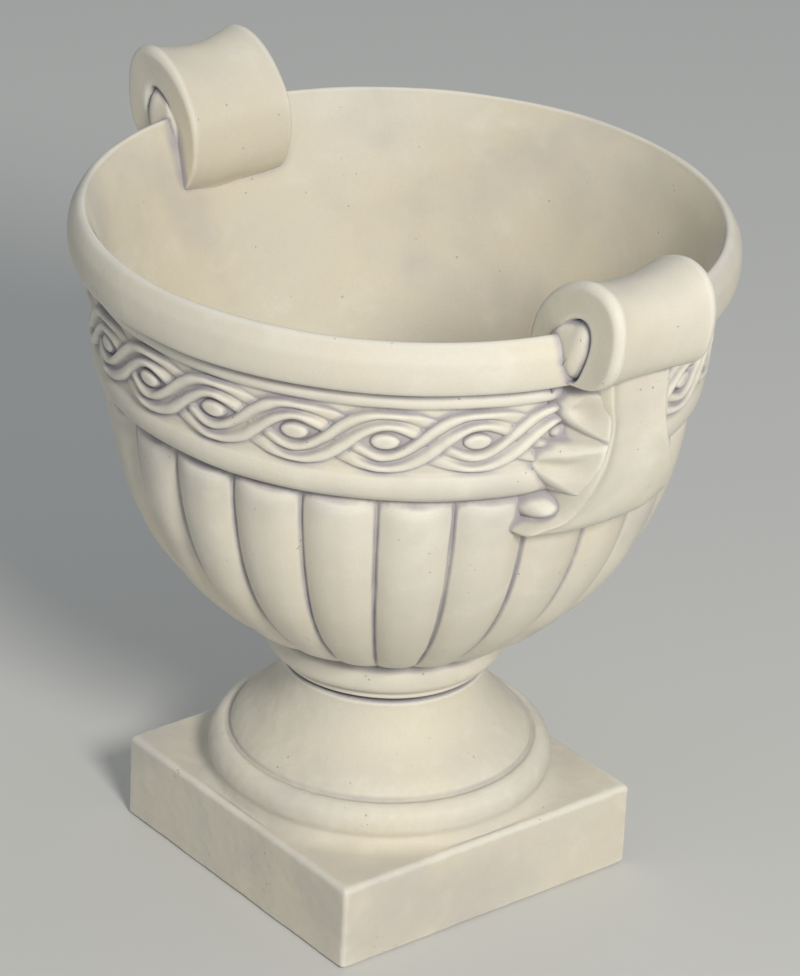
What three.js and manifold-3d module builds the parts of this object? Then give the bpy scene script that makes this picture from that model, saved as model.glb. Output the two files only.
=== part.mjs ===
// Garden urn planter of cast stone: a gadrooned bowl with a guilloche frieze band,
// two strap handles over its rim and a leaf below each, on a turned pedestal with
// a square plinth. Millimetres, +Z up. The origin is the middle of the plinth's
// underside, and the handles lie along X.

import * as THREE from 'three';
import { mergeVertices } from 'three/addons/utils/BufferGeometryUtils.js';
import Module from 'manifold-3d';

const wasm = await Module();
wasm.setup();

// ---------------------------------------------------------------- dimensions

// Shared
const GAP = 0.3;                    // clearance where two pieces meet
const MORTAR = 1.4;                 // thickness of a mortar bed on the bowl
const PIECE_STANDOFF = 2 * GAP + MORTAR;
const BORE_SIDES = 16;

// Plinth and pedestal
const PLINTH_SIDE = 230;
const PLINTH_HEIGHT = 58;
const PLINTH_EDGE = 3;              // rounding of the plinth's edges
const TORUS_RADIUS = 110;
const NECK_RADIUS = 65;
const PEDESTAL_TOP = 137;
const PEDESTAL_SIDES = 48;

// Bowl
const BOWL_BOTTOM = 140;
const COLLAR_RADIUS = 77.5;
const GADROON_BOTTOM = 168;
const GADROON_TOP = 334;
const FRIEZE_BOTTOM = 360;
const FRIEZE_TOP = 400;
const RIM_HEIGHT = 445;
const RIM_RADIUS = 204.8;
const GADROON_COUNT = 24;
const GADROON_AZIMUTH = 3;          // degrees from +X to the middle of a groove
const GADROON_DEPTH = 6;
const GADROON_STEPS = 4;            // facets on each lobe
const BOWL_SIDES = GADROON_COUNT * GADROON_STEPS;

// Twist and bosses of the frieze
const TWIST_MIDDLE = 377.5;
const TWIST_RADIUS = 187;           // of the frieze's ground at that height
const EYE_COUNT = 22;
const EYE_AZIMUTH = -8.2;           // degrees from +X to the middle of one eye
const STRAND_RELIEF = 3.2;          // over the frieze's ground
const STRAND_DIVE = 1.6;            // how much lower a strand ends under the next
const BOSS_RELIEF = 3.4;
const BOSS_HALF_LENGTH = 8.8;
const BOSS_HALF_HEIGHT = 5;
const BOSS_SIDES = 8;
const CARVING_ROOT = 3;             // how far the relief reaches into the wall
const CARVING_SLOPE = 1.4;          // how far its sides lean in
const CARVING_CLEAR = 51;           // half width left plain behind each leaf

// Drain and the dowels of the joint
const DRAIN_RADIUS = 12.5;
const SLEEVE_WALL = 2;
const FLOOR_HEIGHT = 182;
const DOWEL_COUNT = 3;
const DOWEL_RADIUS = 5;
const DOWEL_CIRCLE = 42;
const DOWEL_DEPTH = 22;             // into each of the two castings
const BED_OUTER = 61;
const BED_INNER = 20;

// Handles
const HANDLE_HALF_WIDTH = 39;
const HANDLE_REACH = 242;           // from the axis to the outer face
const HANDLE_TOP = 484;
const HANDLE_SADDLE = 9;            // dip of the top between its two edges
const HANDLE_WAIST = 6;             // the same dip on the outer face
const HANDLE_PANEL = 12;            // depth of the recess in each side face
const HANDLE_BOTTOM = 415.5;
const HANDLE_PIN_RADIUS = 4;
const HANDLE_PIN_PLACE = 192;       // from the axis
const HANDLE_PIN_SPACING = 32;
const HANDLE_PIN_BOTTOM = 420;
const HANDLE_PIN_TOP = 462;
const HANDLE_BED_HALF_WIDTH = 27;
const HANDLE_BED_BOTTOM = 419;

// Leaves
const LEAF_TOP = 412.5;
const LEAF_BOTTOM = 312;
const LEAF_REACH = 219;             // from the axis to the ridges of the flute
const LEAF_PIN_RADIUS = 3;
const LEAF_PIN_HEIGHT = 382;
const LEAF_PIN_SPACING = 36;
const LEAF_PIN_INNER = 178;
const LEAF_PIN_OUTER = 203;
const LEAF_BED_HALF_WIDTH = 27;
const LEAF_BED_BOTTOM = 364;
const LEAF_BED_TOP = 400;

// ----------------------------------------------------------------- materials

function castStone(colour) {
  return new THREE.MeshStandardMaterial({ color: colour, roughness: 0.85, metalness: 0 });
}

const bowlStone = castStone(0xd9d2bf);
const pedestalStone = castStone(0xd6cfbd);
const mortar = new THREE.MeshStandardMaterial({ color: 0xb9b2a4, roughness: 0.95, metalness: 0 });
const stainless = new THREE.MeshStandardMaterial({ color: 0xb8bbbe, roughness: 0.35, metalness: 1 });
const sleevePlastic = new THREE.MeshStandardMaterial({ color: 0x4a4b4d, roughness: 0.6, metalness: 0 });

// --------------------------------------------------------------- shape tools

const pairs = (points) => points.map(([x, y]) => new THREE.Vector2(x, y));

// A closed mesh as a solid that can be joined and cut.
function solid(geometry) {
  const bare = geometry.clone();
  bare.deleteAttribute('normal');
  bare.deleteAttribute('uv');
  const merged = mergeVertices(bare, 1e-4);
  return new wasm.Manifold(new wasm.Mesh({
    numProp: 3,
    vertProperties: new Float32Array(merged.attributes.position.array),
    triVerts: new Uint32Array(merged.index.array),
  }));
}

function geometryOf(body) {
  const cut = body.getMesh();
  const geometry = new THREE.BufferGeometry();
  geometry.setAttribute('position', new THREE.BufferAttribute(new Float32Array(cut.vertProperties), 3));
  geometry.setIndex(new THREE.BufferAttribute(new Uint32Array(cut.triVerts), 1));
  geometry.computeVertexNormals();
  return geometry;
}

// Turns [radius, height] points about Z. The first facet starts at the azimuth.
function turned(points, sides, azimuth = 0) {
  const start = THREE.MathUtils.degToRad(azimuth + 90);
  const lathe = new THREE.LatheGeometry(pairs(points), sides, start);
  return lathe.rotateX(Math.PI / 2);
}

// A closed outline in the plane of two axes, extruded along the third.
function extruded(shape, depth, curveSegments = 2) {
  return new THREE.ExtrudeGeometry(shape, { depth, bevelEnabled: false, curveSegments });
}

// Outline in X and Z, centred on Y.
function sideways(shape, width) {
  return extruded(shape, width).rotateX(Math.PI / 2).translate(0, width / 2, 0);
}

// Outline in Y and Z, from x = 0 outwards.
function forwards(shape, length) {
  return extruded(shape, length).rotateX(Math.PI / 2).rotateZ(Math.PI / 2);
}

function upright(radius, x, y, bottom, top) {
  const cylinder = new THREE.CylinderGeometry(radius, radius, top - bottom, BORE_SIDES);
  return cylinder.rotateX(Math.PI / 2).translate(x, y, (bottom + top) / 2);
}

function block(xFrom, xTo, halfWidth, bottom, top) {
  const box = new THREE.BoxGeometry(xTo - xFrom, 2 * halfWidth, top - bottom);
  return box.translate((xFrom + xTo) / 2, 0, (bottom + top) / 2);
}

// A closed body over rings of points that follow one another.
function swept(rings) {
  const sides = rings[0].length;
  const last = (rings.length - 1) * sides;
  const faces = [];
  for (let start = 0; start < last; start += sides) {
    for (let j = 0; j < sides; j += 1) {
      const [a, b] = [start + j, start + (j + 1) % sides];
      faces.push(a, b, b + sides, a, b + sides, a + sides);
    }
  }
  for (let j = 1; j + 1 < sides; j += 1) faces.push(0, j + 1, j, last, last + j, last + j + 1);
  const geometry = new THREE.BufferGeometry();
  geometry.setAttribute('position', new THREE.Float32BufferAttribute(rings.flat(2), 3));
  return geometry.setIndex(faces);
}

// A half outline of [across, up] points, mirrored about the middle.
function mirrored(half) {
  const other = half.filter(([across]) => across > 0).map(([across, up]) => [-across, up]);
  return new THREE.Shape(pairs([...half, ...other.reverse()]));
}

// Moves an open profile to its left side by a distance.
function grown(points, distance) {
  return points.map(([r, z], i) => {
    const before = points[Math.max(i - 1, 0)];
    const after = points[Math.min(i + 1, points.length - 1)];
    const dr = after[0] - before[0];
    const dz = after[1] - before[1];
    const length = Math.hypot(dr, dz);
    return [r + distance * dz / length, z - distance * dr / length];
  });
}

// --------------------------------------------------------- profiles of the bowl

// Outside, from the joint up to the rim, without the grooves of the gadroons.
const foot = [
  [66, BOWL_BOTTOM], [67.5, 145.5], [74, 148.5], [COLLAR_RADIUS, 157],
];
const gadroonCrown = [
  [76, GADROON_BOTTOM], [98, 179], [121, 198.5], [144, 224],
  [162, 254], [175, 292], [180, 322], [178, GADROON_TOP],
];
const frieze = [
  [178.5, 337], [184.5, 341], [188, 348.5], [185.5, FRIEZE_BOTTOM],
  [188.5, FRIEZE_TOP], [192, 408],
];
const rim = [
  [201, 412.5], [RIM_RADIUS, 422], [RIM_RADIUS - 0.3, 431], [201, 441], [195.5, RIM_HEIGHT],
];
const outside = [...foot, ...gadroonCrown, ...frieze, ...rim];

// Inside, from the rim down to the floor.
const inside = [
  [194, RIM_HEIGHT], [186.5, 428], [176.5, 392], [167, 348], [153.5, 298],
  [134, 256], [106, 221], [64, 193], [DRAIN_RADIUS, FLOOR_HEIGHT],
];

// The upper wall alone, for whatever is bedded on it.
const WALL_CUT = 280;
const upperWall = [...outside, ...inside].filter(([, z]) => z > WALL_CUT);

function wallSolid(offset) {
  const skin = grown(upperWall, offset);
  return solid(turned([...skin, skin[0]], BOWL_SIDES, GADROON_AZIMUTH));
}

// The same stretch of the bowl without its hollow.
function bodySolid(offset) {
  const skin = grown(outside.filter(([, z]) => z > WALL_CUT), offset);
  const core = [[0, skin[0][1]], ...skin, [0, skin.at(-1)[1]]];
  return solid(turned(core, BOWL_SIDES, GADROON_AZIMUTH));
}

// ----------------------------------------------------------------- drain, joint

const dowelPlaces = Array.from({ length: DOWEL_COUNT }, (_, k) => {
  const angle = Math.PI / 2 + (2 * Math.PI * k) / DOWEL_COUNT;
  return [DOWEL_CIRCLE * Math.cos(angle), DOWEL_CIRCLE * Math.sin(angle)];
});

function dowelBore(x, y) {
  const bottom = PEDESTAL_TOP - DOWEL_DEPTH - GAP;
  const top = BOWL_BOTTOM + DOWEL_DEPTH + GAP;
  return solid(upright(DOWEL_RADIUS + GAP, x, y, bottom, top));
}

function dowel(x, y) {
  return upright(DOWEL_RADIUS, x, y, PEDESTAL_TOP - DOWEL_DEPTH, BOWL_BOTTOM + DOWEL_DEPTH);
}

function drainSleeve() {
  const outer = DRAIN_RADIUS - GAP;
  const inner = outer - SLEEVE_WALL;
  const bottom = PEDESTAL_TOP - 14;
  const top = FLOOR_HEIGHT - 1;
  const ring = [[inner, bottom], [outer, bottom], [outer, top], [inner, top], [inner, bottom]];
  return turned(ring, BORE_SIDES);
}

function jointBed() {
  const bottom = PEDESTAL_TOP + GAP;
  const top = BOWL_BOTTOM - GAP;
  const half = [[BED_INNER, bottom], [BED_OUTER, bottom], [BED_OUTER, top], [BED_INNER, top]];
  let bed = solid(turned([...half, half[0]], PEDESTAL_SIDES / 2));
  for (const [x, y] of dowelPlaces) bed = bed.subtract(dowelBore(x, y));
  return geometryOf(bed);
}

// --------------------------------------------------------------------- pedestal

function pedestal() {
  const half = PLINTH_SIDE / 2 - PLINTH_EDGE;
  const square = new THREE.Shape(pairs([[-half, -half], [half, -half], [half, half], [-half, half]]));
  const plinth = new THREE.ExtrudeGeometry(square, {
    depth: PLINTH_HEIGHT - 2 * PLINTH_EDGE,
    bevelSize: PLINTH_EDGE,
    bevelThickness: PLINTH_EDGE,
    bevelSegments: 2,
  }).translate(0, 0, PLINTH_EDGE);

  const shaft = [
    [0, PLINTH_HEIGHT - 2], [113, PLINTH_HEIGHT - 2], [111, 61], [109, 66],
    [TORUS_RADIUS, 71], [109.5, 77], [106, 82], [101, 85], [97, 84],
    [95.5, 86], [95, 88.5], [91, 93.5], [84, 100], [77, 107], [71, 115], [67, 124],
    [NECK_RADIUS, 131], [NECK_RADIUS, PEDESTAL_TOP], [0, PEDESTAL_TOP],
  ];
  const hollow = [
    [0, -1], [90, -1], [86, 40], [74, 70], [54, 88], [26, 102], [DRAIN_RADIUS, 110],
    [DRAIN_RADIUS, PEDESTAL_TOP + 1], [0, PEDESTAL_TOP + 1],
  ];
  let casting = solid(plinth).add(solid(turned(shaft, PEDESTAL_SIDES)));
  casting = casting.subtract(solid(turned(hollow, PEDESTAL_SIDES)));
  for (const [x, y] of dowelPlaces) casting = casting.subtract(dowelBore(x, y));
  return geometryOf(casting);
}

// ------------------------------------------------------------------------- bowl

// Presses the grooves between the lobes into a turned body.
function gadrooned(geometry) {
  const place = geometry.attributes.position;
  for (let i = 0; i < place.count; i += 1) {
    const [x, y, z] = [place.getX(i), place.getY(i), place.getZ(i)];
    const height = THREE.MathUtils.clamp((z - GADROON_BOTTOM) / (GADROON_TOP - GADROON_BOTTOM), 0, 1);
    const fade = Math.min(1, 8 * height, 12 * (1 - height));
    const turn = THREE.MathUtils.radToDeg(Math.atan2(y, x)) - GADROON_AZIMUTH;
    const across = THREE.MathUtils.euclideanModulo((turn * GADROON_COUNT) / 360, 1);
    const groove = GADROON_DEPTH * fade * Math.abs(2 * across - 1) ** 2.4;
    const radius = Math.hypot(x, y);
    if (radius > 1) place.setXY(i, x * (1 - groove / radius), y * (1 - groove / radius));
  }
  return geometry;
}

// A point on the frieze: eyes round the bowl, up from its middle, out from its ground.
function onFrieze(eyes, up, out) {
  const angle = THREE.MathUtils.degToRad(EYE_AZIMUTH + (360 * eyes) / EYE_COUNT);
  const height = TWIST_MIDDLE + up;
  const radius = THREE.MathUtils.mapLinear(height, FRIEZE_BOTTOM, FRIEZE_TOP, 185.5, 188.5) + out;
  return [radius * Math.cos(angle), radius * Math.sin(angle), height];
}

// A strand passes under one eye, rises through the crossing at 0.5 and passes over
// the next eye: eyes along, and the heights of its upper and lower edge.
const strandRise = [
  [0.5, 12, -12], [0.64, 16.8, -5], [0.8, 19.4, 2.4], [1, 20.4, 7.4], [1.2, 20, 4.6], [1.42, 17.8, -2],
];
const strandStart = strandRise.slice(1).reverse().map(([along, high, low]) => [1 - along, -low, -high]);
const strandPath = [...strandStart, ...strandRise];

function strand(eye) {
  return swept(strandPath.map(([along, high, low]) => {
    const rise = STRAND_RELIEF - STRAND_DIVE * Math.max(0, Math.abs(along - 0.5) - 0.4);
    return [
      onFrieze(eye + along, high, -CARVING_ROOT),
      onFrieze(eye + along, high - CARVING_SLOPE, rise),
      onFrieze(eye + along, low + CARVING_SLOPE, rise),
      onFrieze(eye + along, low, -CARVING_ROOT),
    ];
  }));
}

function boss(eye) {
  const ring = (share, out) => Array.from({ length: BOSS_SIDES }, (_, k) => {
    const turn = (2 * Math.PI * k) / BOSS_SIDES;
    const along = (share * BOSS_HALF_LENGTH * Math.cos(turn)) / (2 * Math.PI * TWIST_RADIUS);
    return onFrieze(eye + along * EYE_COUNT, share * BOSS_HALF_HEIGHT * Math.sin(turn), out);
  });
  return swept([ring(1, -CARVING_ROOT), ring(1, 0.8), ring(0.6, BOSS_RELIEF)]);
}

// The twist with its bosses, left out behind the leaves.
function friezeRelief() {
  const eyes = Array.from({ length: EYE_COUNT }, (_, k) => k);
  const carving = wasm.Manifold.union(eyes.flatMap((eye) => [solid(strand(eye)), solid(boss(eye))]));
  const plain = block(-260, 260, CARVING_CLEAR, 340, LEAF_TOP);
  return carving.subtract(solid(plain));
}

function bowl() {
  const body = [[0, BOWL_BOTTOM], ...outside, [0, RIM_HEIGHT]];
  const hollow = [
    [0, RIM_HEIGHT + 10], [199.5, RIM_HEIGHT + 10], ...inside,
    [DRAIN_RADIUS, BOWL_BOTTOM - 1], [0, BOWL_BOTTOM - 1],
  ];
  let casting = solid(gadrooned(turned(body, BOWL_SIDES, GADROON_AZIMUTH))).add(friezeRelief());
  casting = casting.subtract(solid(turned(hollow.reverse(), BOWL_SIDES, GADROON_AZIMUTH)));
  for (const [x, y] of dowelPlaces) casting = casting.subtract(dowelBore(x, y));
  for (const bore of [...handlePins(GAP), ...leafPins(GAP)]) {
    casting = casting.subtract(solid(bore)).subtract(solid(bore.clone().rotateZ(Math.PI)));
  }
  return geometryOf(casting);
}

// ---------------------------------------------------------------------- handles

function handlePins(clearance) {
  return [-1, 1].map((side) => upright(
    HANDLE_PIN_RADIUS + clearance,
    HANDLE_PIN_PLACE,
    (side * HANDLE_PIN_SPACING) / 2,
    HANDLE_PIN_BOTTOM - clearance,
    HANDLE_PIN_TOP + clearance,
  ));
}

// Seen from the side: up the inside of the bowl, over the rim and down outside.
function handleSide() {
  const shape = new THREE.Shape();
  shape.moveTo(180, 387);
  shape.splineThru(pairs([
    [170, 399], [164, 418], [168.5, 449], [181, 466], [197, 477.5], [217, HANDLE_TOP],
    [234, 477.5], [HANDLE_REACH - 1, 460], [238.5, 436], [228, 422], [209, HANDLE_BOTTOM],
  ]));
  shape.lineTo(186, HANDLE_BOTTOM);
  return shape;
}

// Seen from outside: the top dips between its two edges.
function handleFront() {
  return mirrored([
    [0, HANDLE_TOP - HANDLE_SADDLE], [13, HANDLE_TOP - 0.8 * HANDLE_SADDLE],
    [24, HANDLE_TOP - 0.25 * HANDLE_SADDLE], [32, HANDLE_TOP],
    [HANDLE_HALF_WIDTH - 1, HANDLE_TOP - 4], [HANDLE_HALF_WIDTH, HANDLE_TOP - 10],
    [HANDLE_HALF_WIDTH, 370],
  ]);
}

// Seen from above: the outer face dips in the same way.
function handlePlan() {
  const half = [
    [0, HANDLE_REACH - HANDLE_WAIST], [13, HANDLE_REACH - 0.8 * HANDLE_WAIST],
    [24, HANDLE_REACH - 0.25 * HANDLE_WAIST], [32, HANDLE_REACH],
    [HANDLE_HALF_WIDTH - 1, HANDLE_REACH - 3], [HANDLE_HALF_WIDTH, HANDLE_REACH - 9],
    [HANDLE_HALF_WIDTH, 120],
  ];
  return extruded(mirrored(half), 150).rotateZ(-Math.PI / 2).translate(0, 0, 360);
}

// The blind recess in a side face, between the strap and the rim.
function handlePanel(side) {
  const shape = new THREE.Shape();
  shape.moveTo(180, 444);
  shape.splineThru(pairs([[192, 453], [205, 458.5], [214.5, 454], [213, 437], [205, 418]]));
  shape.lineTo(190, 418);
  const middle = side * (HANDLE_HALF_WIDTH + HANDLE_PANEL / 2);
  return sideways(shape, 3 * HANDLE_PANEL).translate(0, middle, 0);
}

function handle() {
  let casting = solid(sideways(handleSide(), 2 * HANDLE_HALF_WIDTH));
  casting = casting.intersect(solid(forwards(handleFront(), 300)));
  casting = casting.intersect(solid(handlePlan()));
  for (const side of [-1, 1]) casting = casting.subtract(solid(handlePanel(side)));
  casting = casting.subtract(wallSolid(PIECE_STANDOFF));
  for (const bore of handlePins(GAP)) casting = casting.subtract(solid(bore));
  return geometryOf(casting);
}

function handleBed() {
  const stretch = block(150, 250, HANDLE_BED_HALF_WIDTH, HANDLE_BED_BOTTOM, 480);
  let bed = wallSolid(GAP + MORTAR).subtract(wallSolid(GAP)).intersect(solid(stretch));
  for (const bore of handlePins(GAP)) bed = bed.subtract(solid(bore));
  return geometryOf(bed);
}

// ----------------------------------------------------------------------- leaves

function leafPins(clearance) {
  const length = LEAF_PIN_OUTER - LEAF_PIN_INNER + 2 * clearance;
  const middle = (LEAF_PIN_OUTER + LEAF_PIN_INNER) / 2;
  const radius = LEAF_PIN_RADIUS + clearance;
  return [-1, 1].map((side) => {
    const pin = new THREE.CylinderGeometry(radius, radius, length, 12).rotateZ(Math.PI / 2);
    return pin.translate(middle, (side * LEAF_PIN_SPACING) / 2, LEAF_PIN_HEIGHT);
  });
}

// The low lobes down each side, seen from outside.
function leafLobes() {
  const right = new THREE.Path();
  right.moveTo(0, LEAF_TOP);
  right.lineTo(30, LEAF_TOP);
  right.splineThru(pairs([[38, 401], [35, 388], [24, 380]]));
  right.splineThru(pairs([[42, 372], [48.5, 359], [41, 345], [30, 341]]));
  right.splineThru(pairs([[50, 339], [56, 328], [46, 317]]));
  right.lineTo(0, LEAF_BOTTOM + 8);
  const half = right.getPoints(2).map((p) => [p.x, p.y]);
  return mirrored(half);
}

// The flute between them, which spreads downwards into a broad lip.
function leafFlute() {
  return mirrored([
    [0, LEAF_TOP], [28, LEAF_TOP], [25, 396], [27, 374], [32, 356], [42, 341], [54, 330],
    [54, 318], [45, LEAF_BOTTOM + 0.5], [30, LEAF_BOTTOM], [15, LEAF_BOTTOM + 3], [0, LEAF_BOTTOM + 5],
  ]);
}

// How far out the lobes lie, about 11 mm over the bowl.
const leafRelief = [
  [0, 305], [191, 305], [193, 330], [200, 344],
  [197, FRIEZE_BOTTOM], [200, FRIEZE_TOP], [202, 414], [0, 414],
];

// Seen from the side: nearly upright, with the lip turned in at the bottom.
function leafSide() {
  return new THREE.Shape(pairs([
    [120, LEAF_TOP + 5], [LEAF_REACH, LEAF_TOP + 5], [LEAF_REACH - 1, 390], [LEAF_REACH - 4, 355],
    [LEAF_REACH - 7, 328], [LEAF_REACH - 12, 317], [198, LEAF_BOTTOM - 2], [120, LEAF_BOTTOM - 2],
  ]));
}

// Seen from above: a shallow hollow between two ridges, which fall away to the sides.
function leafPlan() {
  const half = [
    [0, LEAF_REACH - 5], [11, LEAF_REACH - 3.5], [21, LEAF_REACH], [29, LEAF_REACH - 6],
    [45, LEAF_REACH - 17], [56, LEAF_REACH - 28], [56, 120],
  ];
  return extruded(mirrored(half), 130).rotateZ(-Math.PI / 2).translate(0, 0, 295);
}

function leaf() {
  const lobes = solid(forwards(leafLobes(), 300)).intersect(solid(turned(leafRelief, BOWL_SIDES)));
  const flute = solid(forwards(leafFlute(), 300));
  const relief = solid(sideways(leafSide(), 140)).intersect(solid(leafPlan()));
  let casting = flute.intersect(relief).add(lobes).subtract(bodySolid(PIECE_STANDOFF));
  for (const bore of leafPins(GAP)) casting = casting.subtract(solid(bore));
  return geometryOf(casting);
}

function leafBed() {
  const stretch = block(150, 250, LEAF_BED_HALF_WIDTH, LEAF_BED_BOTTOM, LEAF_BED_TOP);
  let bed = bodySolid(GAP + MORTAR).subtract(bodySolid(GAP)).intersect(solid(stretch));
  for (const bore of leafPins(GAP)) bed = bed.subtract(solid(bore));
  return geometryOf(bed);
}

// --------------------------------------------------------------------- assembly

const urn = new THREE.Group();

function place(name, geometry, material, parent = urn) {
  const mesh = new THREE.Mesh(geometry, material);
  mesh.name = name;
  parent.add(mesh);
}

place('pedestal', pedestal(), pedestalStone);
place('joint_bed', jointBed(), mortar);
place('drain_sleeve', drainSleeve(), sleevePlastic);
dowelPlaces.forEach(([x, y], k) => place(`joint_dowel_${k + 1}`, dowel(x, y), stainless));
place('bowl', bowl(), bowlStone);

for (const [side, turn] of [['right', 0], ['left', Math.PI]]) {
  const half = new THREE.Group();
  half.rotation.z = turn;
  urn.add(half);
  place(`handle_${side}`, handle(), bowlStone, half);
  place(`handle_bed_${side}`, handleBed(), mortar, half);
  place(`leaf_${side}`, leaf(), bowlStone, half);
  place(`leaf_bed_${side}`, leafBed(), mortar, half);
  handlePins(0).forEach((pin, k) => place(`handle_pin_${side}_${k + 1}`, pin, stainless, half));
  leafPins(0).forEach((pin, k) => place(`leaf_pin_${side}_${k + 1}`, pin, stainless, half));
}

export default urn;
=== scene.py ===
"""Garden urn planter of cast stone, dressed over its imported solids.

Each piece of the urn has an operator of its own, and main() calls them in order.
Lengths in the shape tables are millimetres, and every mesh is made in metres.
"""

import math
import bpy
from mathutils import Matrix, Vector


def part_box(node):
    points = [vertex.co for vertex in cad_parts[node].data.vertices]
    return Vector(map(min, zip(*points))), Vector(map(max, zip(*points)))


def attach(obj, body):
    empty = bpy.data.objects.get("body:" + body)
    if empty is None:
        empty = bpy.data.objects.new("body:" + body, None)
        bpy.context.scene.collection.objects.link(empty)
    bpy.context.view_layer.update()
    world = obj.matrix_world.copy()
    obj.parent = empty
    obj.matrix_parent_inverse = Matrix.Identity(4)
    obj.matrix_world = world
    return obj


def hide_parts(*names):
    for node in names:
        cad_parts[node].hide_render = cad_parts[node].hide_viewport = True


bl_info = {
    "name": "Urn planter",
    "version": (1, 0, 0),
    "blender": (4, 5, 0),
    "location": "View3D > Sidebar > Urn",
    "description": "Builds a gadrooned garden urn with a guilloche frieze, handles and leaves",
    "category": "Object",
}

import bmesh
import bpy
import numpy as np
from bpy.props import FloatProperty, FloatVectorProperty, IntProperty, PointerProperty
from mathutils import Matrix, Vector, noise

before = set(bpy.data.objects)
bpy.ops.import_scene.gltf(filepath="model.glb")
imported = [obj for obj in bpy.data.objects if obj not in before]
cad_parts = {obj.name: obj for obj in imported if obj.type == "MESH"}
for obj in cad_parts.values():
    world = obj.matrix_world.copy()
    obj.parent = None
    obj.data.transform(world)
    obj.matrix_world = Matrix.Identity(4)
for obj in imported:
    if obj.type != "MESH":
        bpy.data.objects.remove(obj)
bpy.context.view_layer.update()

MM = 0.001
BODY = "root"
RECESS = "recess"
EDGE = "edge"

BOWL_LOW, BOWL_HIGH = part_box("bowl")
PEDESTAL_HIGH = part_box("pedestal")[1]

# The meshes keep a little inside the solids, so that their wear stays inside too.
RIM_RADIUS = BOWL_HIGH.x / MM - 0.5
RIM_HEIGHT = BOWL_HIGH.z / MM
BOWL_BOTTOM = BOWL_LOW.z / MM
PLINTH_HALF = PEDESTAL_HIGH.x / MM - 0.3
PEDESTAL_TOP = PEDESTAL_HIGH.z / MM


# ---- outlines, mm ----

# The bowl from its joint up to the rim: radius and height.
COLLAR = [(64, BOWL_BOTTOM), (66.5, 140.6), (67.4, 143), (66.8, 145.4)]
COLLAR_BAND = [(67.2, 146.3), (72.5, 147.6), (76.2, 151.5), (77.3, 157), (76.6, 162.5), (73.5, 167)]
GADROON = [
    (72, 166.5), (76.5, 168.2), (85, 172.5), (98, 179.8), (110, 188.5), (121, 198.5), (133, 210.5),
    (144, 224), (154, 239), (162, 254.5), (169.5, 273), (175, 292), (178.5, 310), (180, 324), (179.6, 336),
]
BEAD = [
    (170, 333.6), (177, 334.4), (182, 336.9), (185.8, 340.4), (187.7, 345), (188, 349.5), (186.9, 353.6),
    (184.9, 356.2),
]
GROUND = [(184.9, 356.2), (185.2, 362), (186.2, 375), (187.4, 390), (188, 398.2)]
FILLET = [(188, 398.2), (190.3, 399.8), (191.9, 402.6), (192, 406), (190.6, 408.6), (190.6, 410.6)]
RIM = [
    (190.6, 410.6), (195.5, 411.4), (200.3, 412.9), (203, 416.4), (RIM_RADIUS, 422.5), (RIM_RADIUS, 429),
    (203.4, 435), (200.9, 440), (198, 443.3), (195.6, RIM_HEIGHT - 0.7),
]
LIP = [(195.6, RIM_HEIGHT - 0.7), (194.5, RIM_HEIGHT - 0.9), (193.2, RIM_HEIGHT - 3)]
INSIDE = [
    (193.2, RIM_HEIGHT - 3), (186.8, 428), (181.6, 410), (177, 392), (172, 370), (167.2, 348), (161, 323),
    (153.8, 298), (144.6, 276), (134, 256), (121, 238), (106, 221.5), (86, 206), (64, 194), (40, 186.5),
    (24, 183.6), (15.5, 182.6),
]
DRAIN = [(15.5, 182.6), (13, 181.2), (12.6, 178), (12.6, BOWL_BOTTOM), (20, BOWL_BOTTOM), (64, BOWL_BOTTOM)]

# The pedestal above its plinth.
TORUS = [
    (108.6, 65.5), (109.8, 70.5), (109.4, 76), (107.4, 80.5), (103.8, 83.8), (100, 84.7), (97.6, 83.9),
    (96.3, 84.3), (96, 86.6), (95, 88.8),
]
FOOT = [
    (95, 88.8), (92.6, 92.4), (88.4, 96.6), (83, 101), (77.2, 106.6), (72, 113), (68.4, 120), (66.2, 127),
    (65.2, 132), (65, 135.6), (64, PEDESTAL_TOP), (58, PEDESTAL_TOP),
]
PEDESTAL_BORE = [(58, PEDESTAL_TOP), (14, PEDESTAL_TOP), (12.6, PEDESTAL_TOP - 2), (12.6, 112), (26, 102)]
PEDESTAL_HOLLOW = [(26, 102), (54, 88), (74, 70), (85.6, 40), (89.5, 4), (90.5, 0)]

# The twist of the frieze: a strand from its crossing up over the next eye and down
# under the next strand. Eyes along, then the heights over the twist's middle of its
# upper edge, its two ridges and its lower edge.
STRAND = [
    (0.5, 12.2, 8.6, -8.6, -12.2), (0.64, 16.8, 13.8, -1.8, -5.6), (0.78, 19.3, 16.8, 4.4, 0.9),
    (0.9, 20.3, 18, 8.2, 5), (1, 20.4, 18.2, 9.7, 6.4), (1.1, 20.3, 18.1, 9.3, 6),
    (1.22, 19.7, 17.4, 6.9, 3.4), (1.35, 18.3, 16, 3, -0.8), (1.5, 15.6, 13.2, -2.5, -6.5),
    (1.62, 12.5, 9.8, -8, -12),
]
# Across a strand, from an edge to its middle: 0 edge, 1 ridge, 2 middle, and share of the relief.
STRAND_SECTION = [
    (0, -0.5), (0.1, 0.1), (0.35, 0.55), (0.7, 0.86), (1.1, 1), (1.4, 0.92), (1.65, 0.64), (1.85, 0.3),
    (2, 0.16),
]

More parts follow.
